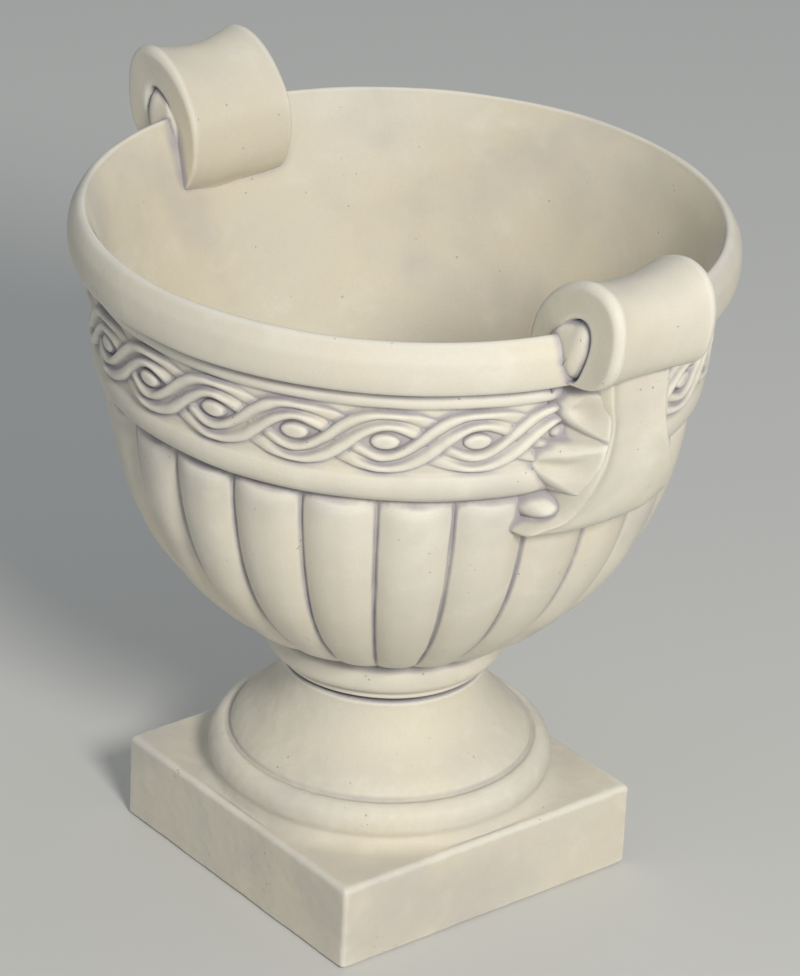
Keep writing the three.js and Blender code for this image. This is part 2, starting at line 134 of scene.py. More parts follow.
# The handle seen from the side, point for point: distance from the urn's axis and
# height on its outline and on the edge of its side panel, the dip of the middle
# between the two edges, and the rounding of the edge.
HANDLE = [
    (182, 390, 188, 404, 0, 2), (177, 398, 186, 411, 0, 2), (170, 406.5, 184, 418, 0.5, 2.2),
    (165.4, 418.5, 182.5, 426, 1, 2.4), (164.8, 433, 182.5, 434, 1.5, 2.6), (168, 448, 184, 441.5, 2, 3),
    (176, 461, 188.5, 447.5, 3, 3.4), (187, 471.5, 195, 453, 4.2, 4), (200, 479, 202, 456.8, 5.2, 4.5),
    (214, 482.6, 208.5, 458.6, 5.8, 5), (227, 480.4, 213.5, 457, 6, 5.4), (236, 473, 216, 452, 5.8, 5.6),
    (240, 461, 216, 445, 5.2, 5.6), (239.6, 446, 214, 436.5, 4.8, 5.4), (236, 432.5, 210.8, 428.5, 4.4, 5),
    (228.5, 423, 207, 421.5, 3, 4.6), (218, 417.8, 203, 418, 1.8, 3.6), (205, 415.6, 197, 416.5, 0.5, 3),
    (190, 412, 190, 410, 0, 2),
]
HANDLE_CENTRE = (203, 434)

# The leaf's flute: height, half width between its ridges, radius over the ridges and
# over its middle, and how far the middle lies to one side.
LEAF_FLUTE = [
    (420, 22, 219, 213, 2), (404, 21, 219, 213, 2.5), (392, 19.8, 219, 213, 3.5),
    (381, 20.8, 218.6, 212.6, 4.5), (370, 23.4, 218, 212, 5.2), (359, 27.4, 216.6, 211.2, 6),
    (347, 31.6, 213.4, 209.4, 7), (339, 34, 210, 208, 8), (332, 35.8, 206.4, 206.6, 8.4),
    (326, 37.8, 203, 205, 8), (321, 41.5, 199.4, 202.8, 6.8), (317.8, 45.6, 196, 200.4, 5.4),
    (315, 48.6, 193.4, 197.4, 4.6), (312.6, 49.8, 190, 193.6, 4), (310.9, 49, 185.6, 189, 4),
    (310.5, 46.5, 180, 183, 4), (311.6, 43, 171, 174, 4),
]
# Across the flute from its middle: share of the half width, and of the way from the
# middle's radius out to the ridge's.
LEAF_HOLLOW = [(0, 0), (0.25, 0.02), (0.5, 0.14), (0.7, 0.4), (0.85, 0.75), (0.94, 0.95), (1, 1)]
# From a ridge down its outer side: across and in, mm.
LEAF_FLANK = [(0.7, -0.5), (1.7, -2.2), (2.6, -4.8), (3.4, -8.5), (4, -13), (4.6, -19), (5.4, -28)]

# The leaf's side lobes: outline across and up, height at 45 mm across and how much
# it grows for each mm nearer the middle, rounding of the edge, and the line of the
# hollow with its depth and width.
LEAF_LOBES = [
    (
        [
            (8, 414), (22, 413), (32, 410.5), (38, 403.5), (39, 394), (36, 386), (29.5, 380), (22, 375),
            (8, 370),
        ],
        0, 1.28, 4.6, [(15, 407), (21, 403), (31, 395)], 5.4, 5.2,
    ),
    (
        [
            (8, 392), (17, 386), (25, 380), (35, 375.5), (44, 371), (49.5, 364.5), (49.8, 356), (45, 347.5),
            (37.5, 341), (29, 335.5), (20, 330), (8, 328),
        ],
        9, 1.0, 5.4, [(17, 373), (23, 366.5), (30, 361.5), (38, 359), (45.5, 358.5)], 6.6, 5.6,
    ),
    (
        [
            (25, 327.5), (27.5, 334.5), (33.5, 338.5), (41, 338.5), (48, 334), (50.5, 327.5), (48, 321),
            (41, 317), (33.5, 317), (27.5, 321),
        ],
        13.5, 0, 10.5, [(28, 328), (28.5, 328)], 0, 3,
    ),
]


# ---- point tools ----


def rounded(points, rounds=4, closed=False):
    """A smooth line through the points, by interpolating subdivision."""
    line = np.array(points, float)
    for _ in range(rounds):
        if closed:
            near = np.vstack([line[-1:], line, line[:2]])
        else:
            near = np.vstack([2 * line[:1] - line[1:2], line, 2 * line[-1:] - line[-2:-1]])
        middle = (9 * (near[1:-2] + near[2:-1]) - near[:-3] - near[3:]) / 16
        finer = np.empty((len(line) + len(middle), line.shape[1]))
        finer[::2] = line
        finer[1::2] = middle
        line = finer
    return line


def evenly(line, step):
    """The same line with points about a step apart."""
    reach = np.concatenate([[0], np.cumsum(np.linalg.norm(np.diff(line, axis=0), axis=1))])
    count = max(2, int(round(reach[-1] / step)) + 1)
    where = np.linspace(0, reach[-1], count)
    return np.stack([np.interp(where, reach, line[:, k]) for k in range(line.shape[1])], axis=1)


def joined(*stretches, step=1.5):
    """One profile of several smooth stretches that meet in corners."""
    parts = [evenly(rounded(stretch), step) for stretch in stretches]
    return np.vstack([parts[0]] + [part[1:] for part in parts[1:]])


def smoothstep(value, low, high):
    """0 up to low and 1 past high, with a smooth rise between them."""
    t = np.clip((value - low) / (high - low), 0, 1)
    return t * t * (3 - 2 * t)


def shoulder(distance, width):
    """0 outside an edge, rising in a quarter round to 1 a width inside it."""
    t = np.clip(distance / width, 0, 1)
    return np.sqrt(1 - (1 - t) ** 2)


def line_distance(y, z, line):
    """Distance of each grid point from a line."""
    best = np.full(y.shape, 1e9)
    for (y0, z0), (y1, z1) in zip(line[:-1], line[1:]):
        dy, dz = y1 - y0, z1 - z0
        t = np.clip(((y - y0) * dy + (z - z0) * dz) / max(dy * dy + dz * dz, 1e-9), 0, 1)
        best = np.minimum(best, np.hypot(y - y0 - t * dy, z - z0 - t * dz))
    return best


def inside_depth(y, z, outline):
    """How far each grid point lies inside a closed outline, negative outside it."""
    ring = np.vstack([outline, outline[:1]])
    inside = np.zeros(y.shape, bool)
    for (y0, z0), (y1, z1) in zip(ring[:-1], ring[1:]):
        if z0 != z1:
            crosses = (z0 > z) != (z1 > z)
            inside ^= crosses & (y < (y1 - y0) * (z - z0) / (z1 - z0) + y0)
    return np.where(inside, 1, -1) * line_distance(y, z, ring)


def body_radius(height):
    """Radius of the bowl's outside over the crowns of its relief, mm."""
    # The stretches' ends that turn in under their neighbours are left off.
    line = np.vstack([rounded(GADROON)[:-8], rounded(BEAD)[24:], rounded(GROUND), rounded(FILLET)[:-16]])
    order = np.argsort(line[:, 1])
    return np.interp(height, line[order, 1], line[order, 0])


# ---- mesh tools ----


def placed(name, data):
    """A new object, in the scene."""
    item = bpy.data.objects.new(name, data)
    bpy.context.scene.collection.objects.link(item)
    return item


def sheet(name, points, around=False):
    """A smooth object over a grid of points in mm, with its seams and poles welded."""
    rows, cols = points.shape[:2]
    row = np.arange(rows - 1)[:, None] * cols
    col = np.arange(cols if around else cols - 1)[None, :]
    next_row, next_col = row + cols, (col + 1) % cols
    quads = np.stack([row + col, row + next_col, next_row + next_col, next_row + col], axis=-1)
    mesh = bpy.data.meshes.new(name)
    mesh.from_pydata((points.reshape(-1, 3) * MM).tolist(), [], quads.reshape(-1, 4).tolist())
    welded = bmesh.new()
    welded.from_mesh(mesh)
    bmesh.ops.remove_doubles(welded, verts=welded.verts, dist=1e-6)
    welded.to_mesh(mesh)
    welded.free()
    mesh.validate()
    mesh.polygons.foreach_set("use_smooth", [True] * len(mesh.polygons))
    mesh.update()
    return placed(name, mesh)


def polar(radius, angles, height):
    """Points by radius, azimuth and height."""
    across = radius * np.cos(angles), radius * np.sin(angles)
    return np.stack(np.broadcast_arrays(*across, height), axis=-1)


def ring_points(profile, angles):
    """A profile of radius and height turned through the angles, rows by columns."""
    return polar(profile[:, :1], angles, profile[:, 1:])


def turned(name, profile, sides):
    """A profile turned round the urn's axis."""
    angles = np.linspace(0, 2 * math.pi, sides, endpoint=False)
    return sheet(name, ring_points(profile, angles), around=True)


def places_and_normals(mesh):
    """Two arrays with a row for each vertex."""
    both = np.empty((2, len(mesh.vertices) * 3))
    mesh.vertices.foreach_get("co", both[0])
    mesh.vertex_normals.foreach_get("vector", both[1])
    return both.reshape(2, -1, 3)


def worn(piece, amount, size, seed):
    """Moves the surface in and out a little, as a hand-finished casting is uneven."""
    mesh = piece.data
    places, normals = places_and_normals(mesh)
    shift = Vector((seed, 2.3 * seed, -1.7 * seed))
    wave = np.array([noise.noise(Vector(p) / (size * MM) + shift) for p in places])
    places += normals * (wave * amount * MM)[:, None]
    places[:, 2] = np.maximum(places[:, 2], 0)
    mesh.vertices.foreach_set("co", places.ravel())
    mesh.update()


def worn_and_highlit_edges(piece, rounds, depth):
    """Stores how far each point stands out of its surroundings, or lies in them, for the pale edges of rubbed
    wear and painted highlight.
    """
    mesh = piece.data
    places, normals = places_and_normals(mesh)
    ends = np.empty(len(mesh.edges) * 2, int)
    mesh.edges.foreach_get("vertices", ends)
    ends = ends.reshape(-1, 2)
    degree = np.bincount(ends.ravel(), minlength=len(places))[:, None]
    smooth = places.copy()
    for _ in range(rounds):
        total = np.zeros_like(smooth)
        for axis in range(3):
            total[:, axis] += np.bincount(ends[:, 0], smooth[ends[:, 1], axis], len(places))
            total[:, axis] += np.bincount(ends[:, 1], smooth[ends[:, 0], axis], len(places))
        smooth = 0.5 * smooth + 0.5 * total / np.maximum(degree, 1)
    out = ((places - smooth) * normals).sum(axis=1) / (depth * MM)
    store(mesh, EDGE, np.clip(out, -1, 1))


def store(mesh, name, values):
    """Keeps a value for each vertex under a name that the finishes read."""
    layer = mesh.attributes.get(name) or mesh.attributes.new(name, "FLOAT", "POINT")
    layer.data.foreach_set("value", np.asarray(values, float))


def dressed(piece, slot, node):
    """Gives a finished piece its material and its body, and hides the node that it stands for."""
    piece.data.materials.clear()
    piece.data.materials.append(finish(slot))
    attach(piece, BODY)
    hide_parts(node)


# ---- node tools ----


class Bench:
    """Short calls for building a node tree."""

    def __init__(self, tree):
        self.tree = tree

    def socket(self, name, kind, in_out="INPUT", **settings):
        """Gives the node group a named input or output."""
        item = self.tree.interface.new_socket(name, in_out=in_out, socket_type="NodeSocket" + kind)
        for key, value in settings.items():
            setattr(item, key, value)

    def feed(self, node, inputs):
        """Sets a node's inputs, each from a value or from another node's output."""
        for key, value in dict(inputs).items():
            if isinstance(value, bpy.types.NodeSocket):
                self.tree.links.new(value, node.inputs[key])
            else:
                node.inputs[key].default_value = value

    def add(self, kind, inputs=(), **settings):
        """The outputs of a new node."""
        node = self.tree.nodes.new(kind)
        for key, value in settings.items():
            setattr(node, key, value)
        self.feed(node, inputs)
        return node.outputs

    def math(self, operation, *values):
        return self.add("ShaderNodeMath", enumerate(values), operation=operation)[0]

    def vector(self, operation, *values):
        return self.add("ShaderNodeVectorMath", enumerate(values), operation=operation)[0]

    def ending(self, geometry, material, output):
        """Real geometry in its material, as the node group's output."""
        painted = self.add("GeometryNodeSetMaterial", {"Geometry": geometry, "Material": material})[0]
        self.add("NodeGroupOutput", {output: painted})


def ring_of_copies():
    """Node group that sets copies of a unit round the urn's axis and joins them."""
    name = "Ring of copies"
    if name in bpy.data.node_groups:
        return bpy.data.node_groups[name]
    bench = Bench(bpy.data.node_groups.new(name, "GeometryNodeTree"))
    bench.socket("Unit", "Geometry")
    bench.socket("Count", "Int", min_value=1, default_value=24)
    bench.socket("Start Angle", "Float", subtype="ANGLE")
    bench.socket("Weld Distance", "Float", subtype="DISTANCE", default_value=0.00002)
    bench.socket("Material", "Material")
    bench.socket("Ring", "Geometry", "OUTPUT")

    given = bench.add("NodeGroupInput")
    points = bench.add("GeometryNodePoints", {"Count": given["Count"]})[0]
    index = bench.add("GeometryNodeInputIndex")[0]
    share = bench.math("DIVIDE", index, given["Count"])
    angle = bench.math("MULTIPLY_ADD", share, 2 * math.pi, given["Start Angle"])
    turn = bench.add("ShaderNodeCombineXYZ", {"Z": angle})[0]
    copies = bench.add(
        "GeometryNodeInstanceOnPoints", {"Points": points, "Instance": given["Unit"], "Rotation": turn}
    )[0]
    real = bench.add("GeometryNodeRealizeInstances", {"Geometry": copies})[0]
    welded = bench.add(
        "GeometryNodeMergeByDistance", {"Geometry": real, "Distance": given["Weld Distance"]}
    )[0]
    bench.ending(welded, given["Material"], "Ring")
    return bench.tree


def shaped(piece, tree, values):
    """Runs a node group on a piece with the values given and leaves a plain mesh."""
    modifier = piece.modifiers.new(tree.name, "NODES")
    modifier.node_group = tree
    for item in tree.interface.items_tree:
        if item.item_type == "SOCKET" and item.name in values:
            modifier[item.identifier] = values[item.name]
    graph = bpy.context.evaluated_depsgraph_get()
    mesh = bpy.data.meshes.new_from_object(piece.evaluated_get(graph))
    piece.modifiers.clear()
    piece.data = mesh
    mesh.name = piece.name
    mesh.polygons.foreach_set("use_smooth", [True] * len(mesh.polygons))


def ringed(piece, count, start):
    """Repeats a unit of the bowl round the axis and leaves a plain mesh."""
    values = {"Count": count, "Start Angle": start, "Material": finish("bowl_stone")}
    shaped(piece, ring_of_copies(), values)


def wash_and_shade_in_hollows():
    """Node group that stores how shut in each point is, by rays sent out round it, for the grey wash and the
    painted shade in deep crevices.
    """
    bench = Bench(bpy.data.node_groups.new("Grey wash in hollows", "GeometryNodeTree"))
    bench.socket("Geometry", "Geometry")
    bench.socket("Reach", "Float", subtype="DISTANCE", default_value=0.016)
    bench.socket("Lift", "Float", subtype="DISTANCE", default_value=0.0005)
    bench.socket("Rays", "Int", default_value=28)
    bench.socket("Material", "Material")
    bench.socket("Geometry", "Geometry", "OUTPUT")

    given = bench.add("NodeGroupInput")
    place = bench.add("GeometryNodeInputPosition")[0]
    normal = bench.add("GeometryNodeInputNormal")[0]
    start = bench.tree.nodes.new("GeometryNodeRepeatInput")
    end = bench.tree.nodes.new("GeometryNodeRepeatOutput")
    start.pair_with_output(end)
    end.repeat_items.clear()
    end.repeat_items.new("FLOAT", "Blocked")
    bench.feed(start, {"Iterations": given["Rays"]})
    turn = start.outputs["Iteration"]

    # Each ray's end lies on a sphere that touches the surface, a golden angle on.
    step = bench.math("DIVIDE", bench.math("MULTIPLY_ADD", turn, 2.0, 1.0), given["Rays"])
    height = bench.math("SUBTRACT", 1.0, step)
    across = bench.math("SQRT", bench.math("SUBTRACT", 1.0, bench.math("MULTIPLY", height, height)))
    angle = bench.math("MULTIPLY", turn, math.pi * (3 - math.sqrt(5)))
    spread = bench.add("ShaderNodeCombineXYZ", {
        "X": bench.math("MULTIPLY", across, bench.math("COSINE", angle)),
        "Y": bench.math("MULTIPLY", across, bench.math("SINE", angle)),
        "Z": height,
    })[0]
    lift = bench.add("ShaderNodeVectorMath", {0: normal, "Scale": given["Lift"]}, operation="SCALE")[0]
    ray = bench.add("GeometryNodeRaycast", {
        "Target Geometry": given["Geometry"],
        "Source Position": bench.vector("ADD", place, lift),
        "Ray Direction": bench.vector("NORMALIZE", bench.vector("ADD", normal, spread)),
        "Ray Length": given["Reach"],
    })
    far = bench.math("DIVIDE", ray["Hit Distance"], given["Reach"])
    near = bench.math("SQRT", bench.math("SUBTRACT", 1.0, far))
    blocked = bench.math("MULTIPLY", ray["Is Hit"], near)
    bench.feed(end, {"Blocked": bench.math("ADD", start.outputs["Blocked"], blocked)})

    mean = bench.math("DIVIDE", end.outputs["Blocked"], given["Rays"])
    blurred = bench.add("GeometryNodeBlurAttribute", {"Value": mean, "Iterations": 2})["Value"]
    kept = bench.add(
        "GeometryNodeStoreNamedAttribute", {"Geometry": given["Geometry"], "Name": RECESS, "Value": blurred}
    )["Geometry"]
    real = bench.add("GeometryNodeRealizeInstances", {"Geometry": kept})[0]
    bench.ending(real, given["Material"], "Geometry")
    return bench.tree


# ---- materials ----


class FinishBench(Bench):
    """Short calls for building a material's nodes, on Object coordinates."""

    def __init__(self, name):
        self.material = bpy.data.materials.new(name)
        self.material.use_nodes = True
        super().__init__(self.material.node_tree)
        self.shader = self.tree.nodes["Principled BSDF"]
        self.place = self.add("ShaderNodeTexCoord")["Object"]

    def cloud(self, scale, detail=4.0, rough=0.55, distortion=0.0):
        inputs = {"Scale": scale, "Detail": detail, "Roughness": rough, "Distortion": distortion}
        return self.add("ShaderNodeTexNoise", {**inputs, "Vector": self.place})["Fac"]

    def spots(self, scale):
        return self.add("ShaderNodeTexVoronoi", {"Scale": scale, "Vector": self.place})["Distance"]

    def ramp(self, value, low, high, start=0.0, end=1.0):
        """A smooth way from start to end, as the value goes from low to high."""
        inputs = {"Value": value, "From Min": low, "From Max": high, "To Min": start, "To Max": end}
        return self.add("ShaderNodeMapRange", inputs, interpolation_type="SMOOTHSTEP")["Result"]

    def mix(self, factor, first, second):
        """A colour between two others, each a tuple or another node's output."""
        first, second = ((*c, 1.0) if isinstance(c, tuple) else c for c in (first, second))
        return self.add("ShaderNodeMix", {"Factor": factor, 6: first, 7: second}, data_type="RGBA")[2]

    def attribute(self, name):
        return self.add("ShaderNodeAttribute", attribute_name=name)["Fac"]

    def bump(self, height, distance, before=None):
        inputs = {"Strength": 1.0, "Distance": distance * MM, "Height": height}
        if before is not None:
            inputs["Normal"] = before
        return self.add("ShaderNodeBump", inputs)["Normal"]


def darker(colour, share):
    return tuple(share * c for c in colour)


def cast_stone(name, cream, warm, pale, antique):
    """Cream cast stone with grey antiquing left in its hollows, painted shade in its deep crevices, and paler
    edges that are rubbed wear and painted highlight.
    """
    bench = FinishBench(name)
    broad = bench.cloud(9.0, 3.0)
    patches = bench.cloud(34.0, 5.0, 0.6, 0.4)
    grain = bench.cloud(900.0, 3.0, 0.7)
    shut_in = bench.attribute(RECESS)
    edge = bench.attribute(EDGE)

    colour = bench.mix(bench.ramp(broad, 0.35, 0.68), cream, warm)
    colour = bench.mix(bench.ramp(patches, 0.52, 0.75, 0.0, 0.35), colour, pale)
    # Convex edges turn pale: rubbed wear and painted highlight.
    colour = bench.mix(bench.ramp(edge, 0.12, 0.7, 0.0, 0.6), colour, pale)

    # The wash in hollows, a thin film of it elsewhere, and painted shade that darkens the deep crevices.
    uneven = bench.ramp(patches, 0.28, 0.6, 0.5, 1.0)
    wash = bench.math("MULTIPLY", bench.ramp(shut_in, 0.07, 0.42), uneven)
    film = bench.ramp(bench.cloud(13.0, 3.0, 0.5, 0.1), 0.46, 0.72, 0.0, 0.34)
    colour = bench.mix(bench.math("MAXIMUM", wash, film), colour, antique)
    # Painted shade: the most shut-in points turn to the wash colour darkened.
    crevice_shade = bench.ramp(shut_in, 0.55, 0.9, 0.0, 0.7)
    colour = bench.mix(crevice_shade, colour, darker(antique, 0.4))

    # The grain of the stone, and a few pits where air was caught in the mould.
    speckle = bench.ramp(grain, 0.3, 0.7, 0.0, 0.16)
    colour = bench.mix(speckle, colour, darker(cream, 0.72))
    pits = bench.ramp(bench.spots(210.0), 0.16, 0.07)
    sparse = bench.ramp(bench.cloud(48.0, 2.0), 0.6, 0.68)
    pits = bench.math("MULTIPLY", pits, sparse)
    colour = bench.mix(bench.math("MULTIPLY", pits, 0.2), colour, darker(antique, 0.45))

    mottled = bench.math("ADD", patches, bench.math("MULTIPLY", grain, 0.4))
    normal = bench.bump(patches, 0.5)
    normal = bench.bump(grain, 0.12, normal)
    normal = bench.bump(bench.math("SUBTRACT", 0.0, pits), 0.5, normal)
    bench.feed(bench.shader, {
        "Base Color": colour,
        "Roughness": bench.ramp(mottled, 0.4, 1.0, 0.5, 0.76),
        "Specular IOR Level": 0.4,
        "Normal": normal,
    })
    return bench.material


# For the joints: colour, roughness, metallic share, and the grain's scale and height.
HIDDEN_FINISHES = {
    "mortar": ((0.33, 0.31, 0.27), 0.9, 0.0, 400.0, 0.3),
    "stainless": ((0.55, 0.56, 0.57), 0.32, 1.0, 700.0, 0.02),
    "sleeve_plastic": ((0.06, 0.06, 0.065), 0.5, 0.0, 300.0, 0.05),
}


def plain_finish(name, colour, roughness, metallic, scale, bump):
    """A simple finish with fine unevenness."""
    bench = FinishBench(name)
    grain = bench.cloud(scale, 4.0, 0.6)
    bench.feed(bench.shader, {
        "Base Color": bench.mix(bench.ramp(grain, 0.3, 0.7), colour, darker(colour, 0.8)),
        "Roughness": bench.ramp(grain, 0.3, 0.7, roughness - 0.06, roughness + 0.06),
        "Metallic": metallic,
        "Normal": bench.bump(grain, bump),
    })
    return bench.material


def finish(key):
    """The urn's finishes by their slots, each made once."""
    name = f"{key}_finish"
    if name in bpy.data.materials:
        return bpy.data.materials[name]
    if key in HIDDEN_FINISHES:
        return plain_finish(name, *HIDDEN_FINISHES[key])
    stone = bpy.context.scene.urn_stone
    cream = tuple(stone.cream) if key == "bowl_stone" else darker(stone.cream, 0.97)
    return cast_stone(name, cream, tuple(stone.warm), tuple(stone.pale), tuple(stone.antique))


# ---- settings ----


class UrnBowlSettings(bpy.types.PropertyGroup):
    sides: IntProperty(name="Sides", description="Facets round the turned surfaces", default=480, min=48)
    lobes: IntProperty(name="Gadroons", description="Lobes round the bowl", default=24, min=8)
    lobe_start: FloatProperty(
        name="Gadroon start", description="Azimuth of the middle of the first lobe",
        default=math.radians(10.5), subtype="ANGLE",
    )
    lobe_depth: FloatProperty(
        name="Gadroon depth", description="Fall from a lobe's crown to its groove",
        default=0.0072, unit="LENGTH",
    )


class UrnFriezeSettings(bpy.types.PropertyGroup):
    eyes: IntProperty(name="Eyes", description="Eyes of the twist round the bowl", default=22, min=6)
    first_eye: FloatProperty(
        name="First eye", description="Azimuth of one eye", default=math.radians(-8.2), subtype="ANGLE"
    )
    middle: FloatProperty(
        name="Middle", description="Height of the twist's middle", default=0.3775, unit="LENGTH"
    )
    relief: FloatProperty(
        name="Relief", description="Height of a strand's ridges", default=0.0050, unit="LENGTH"
    )
    boss_length: FloatProperty(
        name="Boss length", description="Half length of a boss", default=0.0088, unit="LENGTH"
    )
    boss_height: FloatProperty(
        name="Boss height", description="Half height of a boss", default=0.0052, unit="LENGTH"
    )
    boss_relief: FloatProperty(
        name="Boss relief", description="Height of a boss's dome", default=0.0038, unit="LENGTH"
    )


class UrnHandleSettings(bpy.types.PropertyGroup):
    half_width: FloatProperty(
        name="Half width", description="Half the strap's width", default=0.0385, unit="LENGTH"
    )
    panel_depth: FloatProperty(
        name="Panel depth", description="Depth of the side recess at the strap", default=0.0085, unit="LENGTH"
    )


class UrnLeafSettings(bpy.types.PropertyGroup):
    step: FloatProperty(
        name="Mesh step", description="Distance between mesh points", default=0.00085, unit="LENGTH"
    )
    groove: FloatProperty(
        name="Grooves", description="Share of the lobes' groove depth", default=1.0, subtype="FACTOR"
    )


class UrnStoneSettings(bpy.types.PropertyGroup):
    cream: FloatVectorProperty(
        name="Cream", description="Main colour", subtype="COLOR", default=(0.70, 0.66, 0.56)
    )
    warm: FloatVectorProperty(
        name="Warm", description="Warmer patches", subtype="COLOR", default=(0.715, 0.655, 0.525)
    )
    # Pale: random paler patches, and on convex edges rubbed wear and painted highlight.
    pale: FloatVectorProperty(
        name="Pale", description="Rubbed high places", subtype="COLOR", default=(0.83, 0.80, 0.72)
    )
    # The antiquing colour, darkened, is also the painted shade in deep crevices.
    antique: FloatVectorProperty(
        name="Antiquing", description="Grey wash left in the hollows",
        subtype="COLOR", default=(0.42, 0.40, 0.425),
    )
    reach: FloatProperty(
        name="Wash reach", description="How near the stone round a point shuts it in",
        default=0.016, unit="LENGTH",
    )


class UrnStageSettings(bpy.types.PropertyGroup):
    key_azimuth: FloatProperty(
        name="Key azimuth", description="Direction of the key light",
        default=math.radians(-20), subtype="ANGLE",
    )
    key_height: FloatProperty(
        name="Key height", description="Elevation of the key light",
        default=math.radians(32), subtype="ANGLE",
    )
    key_power: FloatProperty(
        name="Key power", description="Power of the key light", default=85.0, unit="POWER"
    )
    fill_power: FloatProperty(
        name="Fill power", description="Power of the fill light", default=8.0, unit="POWER"
    )
    sky: FloatProperty(name="Sky", description="Strength of the surrounding light", default=0.37)


# ---- operators ----


class URN_OT_pedestal(bpy.types.Operator):
    """Builds the pedestal, with its square plinth, torus, foot and hollow underside"""

    bl_idname = "urn.pedestal"
    bl_label = "Pedestal"

    SIDE_POINTS = 96
    CORNER = 2.6
    CORNER_POINTS = 8
    PLINTH_TOP = 58
    ROUNDING = 3.4
    ROUNDING_ROWS = 6
    SIDE_ROWS = 34
    FLAT_ROWS = 9
    FLARE = 121
    FLARE_ROWS = 12

    def execute(self, context):
        angles, square = self.outline()
        points = np.vstack([
            ring_points(evenly(rounded(PEDESTAL_HOLLOW), 4)[:-1], angles),
            self.plinth(angles, square),
            ring_points(joined(TORUS, FOOT, PEDESTAL_BORE, step=1.3), angles),
        ])
        piece = sheet("pedestal_casting", points, around=True)
        worn(piece, 0.35, 28, 3.0)
        worn(piece, 0.16, 7, 5.0)
        worn_and_highlit_edges(piece, 10, 0.55)
        dressed(piece, "pedestal_stone", "pedestal")
        return {"FINISHED"}

    def outline(self):
        """Angles and distances of a square of half side 1 with slightly rounded corners."""
        corner = self.CORNER / PLINTH_HALF
        reach = math.atan(1 - corner)
        side = [(1, math.tan(turn)) for turn in np.linspace(-reach, reach, self.SIDE_POINTS)]
        bend = [
            (1 - corner + corner * math.cos(turn), 1 - corner + corner * math.sin(turn))
            for turn in self.quarter(self.CORNER_POINTS)[1:-1]
        ]
        x, y = np.array(side + bend).T
        x, y = np.concatenate([x, -y, -x, y]), np.concatenate([y, x, -y, -x])
        return np.arctan2(y, x), np.hypot(x, y)

    def plinth(self, angles, square):
        """From the hollow's edge out, up the sides, in to the flare and up to the torus."""
        edge = (PLINTH_HALF - self.ROUNDING) * square
        flare = np.minimum(self.FLARE, edge - 1.2)
        inner = PEDESTAL_HOLLOW[-1][0]
        foot, foot_height = TORUS[0]
        flat = np.linspace(0, 1, self.FLAT_ROWS)
        bend = [(1 - math.sin(turn), 1 - math.cos(turn)) for turn in self.quarter(self.ROUNDING_ROWS)]
        bend = [((PLINTH_HALF - self.ROUNDING * inset) * square, self.ROUNDING * up) for inset, up in bend]
        straight = np.linspace(self.ROUNDING, self.PLINTH_TOP - self.ROUNDING, self.SIDE_ROWS)[1:-1]
        rows = [(inner + (edge - inner) * share, 0) for share in flat[:-1]]
        rows += bend + [(PLINTH_HALF * square, height) for height in straight]
        rows += [(radius, self.PLINTH_TOP - up) for radius, up in reversed(bend)]
        rows += [(edge + (flare - edge) * share, self.PLINTH_TOP) for share in flat[1:-1]]
        for turn in self.quarter(self.FLARE_ROWS)[:-1]:
            rise = (foot_height - self.PLINTH_TOP) * (1 - math.cos(turn))
            rows.append((flare + (foot - flare) * math.sin(turn), self.PLINTH_TOP + rise))
        return np.stack([polar(radius, angles, height) for radius, height in rows])

    def quarter(self, count):
        return np.linspace(0, math.pi / 2, count)


class URN_OT_bowl(bpy.types.Operator):
    """Builds the turned surfaces of the bowl: collar, frieze band, rim and inside"""

    bl_idname = "urn.bowl"
    bl_label = "Bowl"

    def execute(self, context):
        sides = context.scene.urn_bowl.sides
        collar = [COLLAR_BAND[-1], (70, 170)]
        self.add("bowl_rim_and_frieze", joined(BEAD, GROUND, FILLET, RIM, LIP, step=1.3), sides, 0.45, 10)
        self.add("bowl_inside", joined(INSIDE, DRAIN, step=4), sides // 2, 0.8, 6)
        self.add("bowl_collar", joined(COLLAR, COLLAR_BAND, collar, step=1.2), sides // 2, 0.3, 8)
        return {"FINISHED"}

    def add(self, name, profile, sides, unevenness, rounds):
        """One turned piece of the bowl."""
        piece = turned(name, profile, sides)
        worn(piece, unevenness, 45, 1.0)
        worn_and_highlit_edges(piece, rounds, 0.6)
        dressed(piece, "bowl_stone", "bowl")


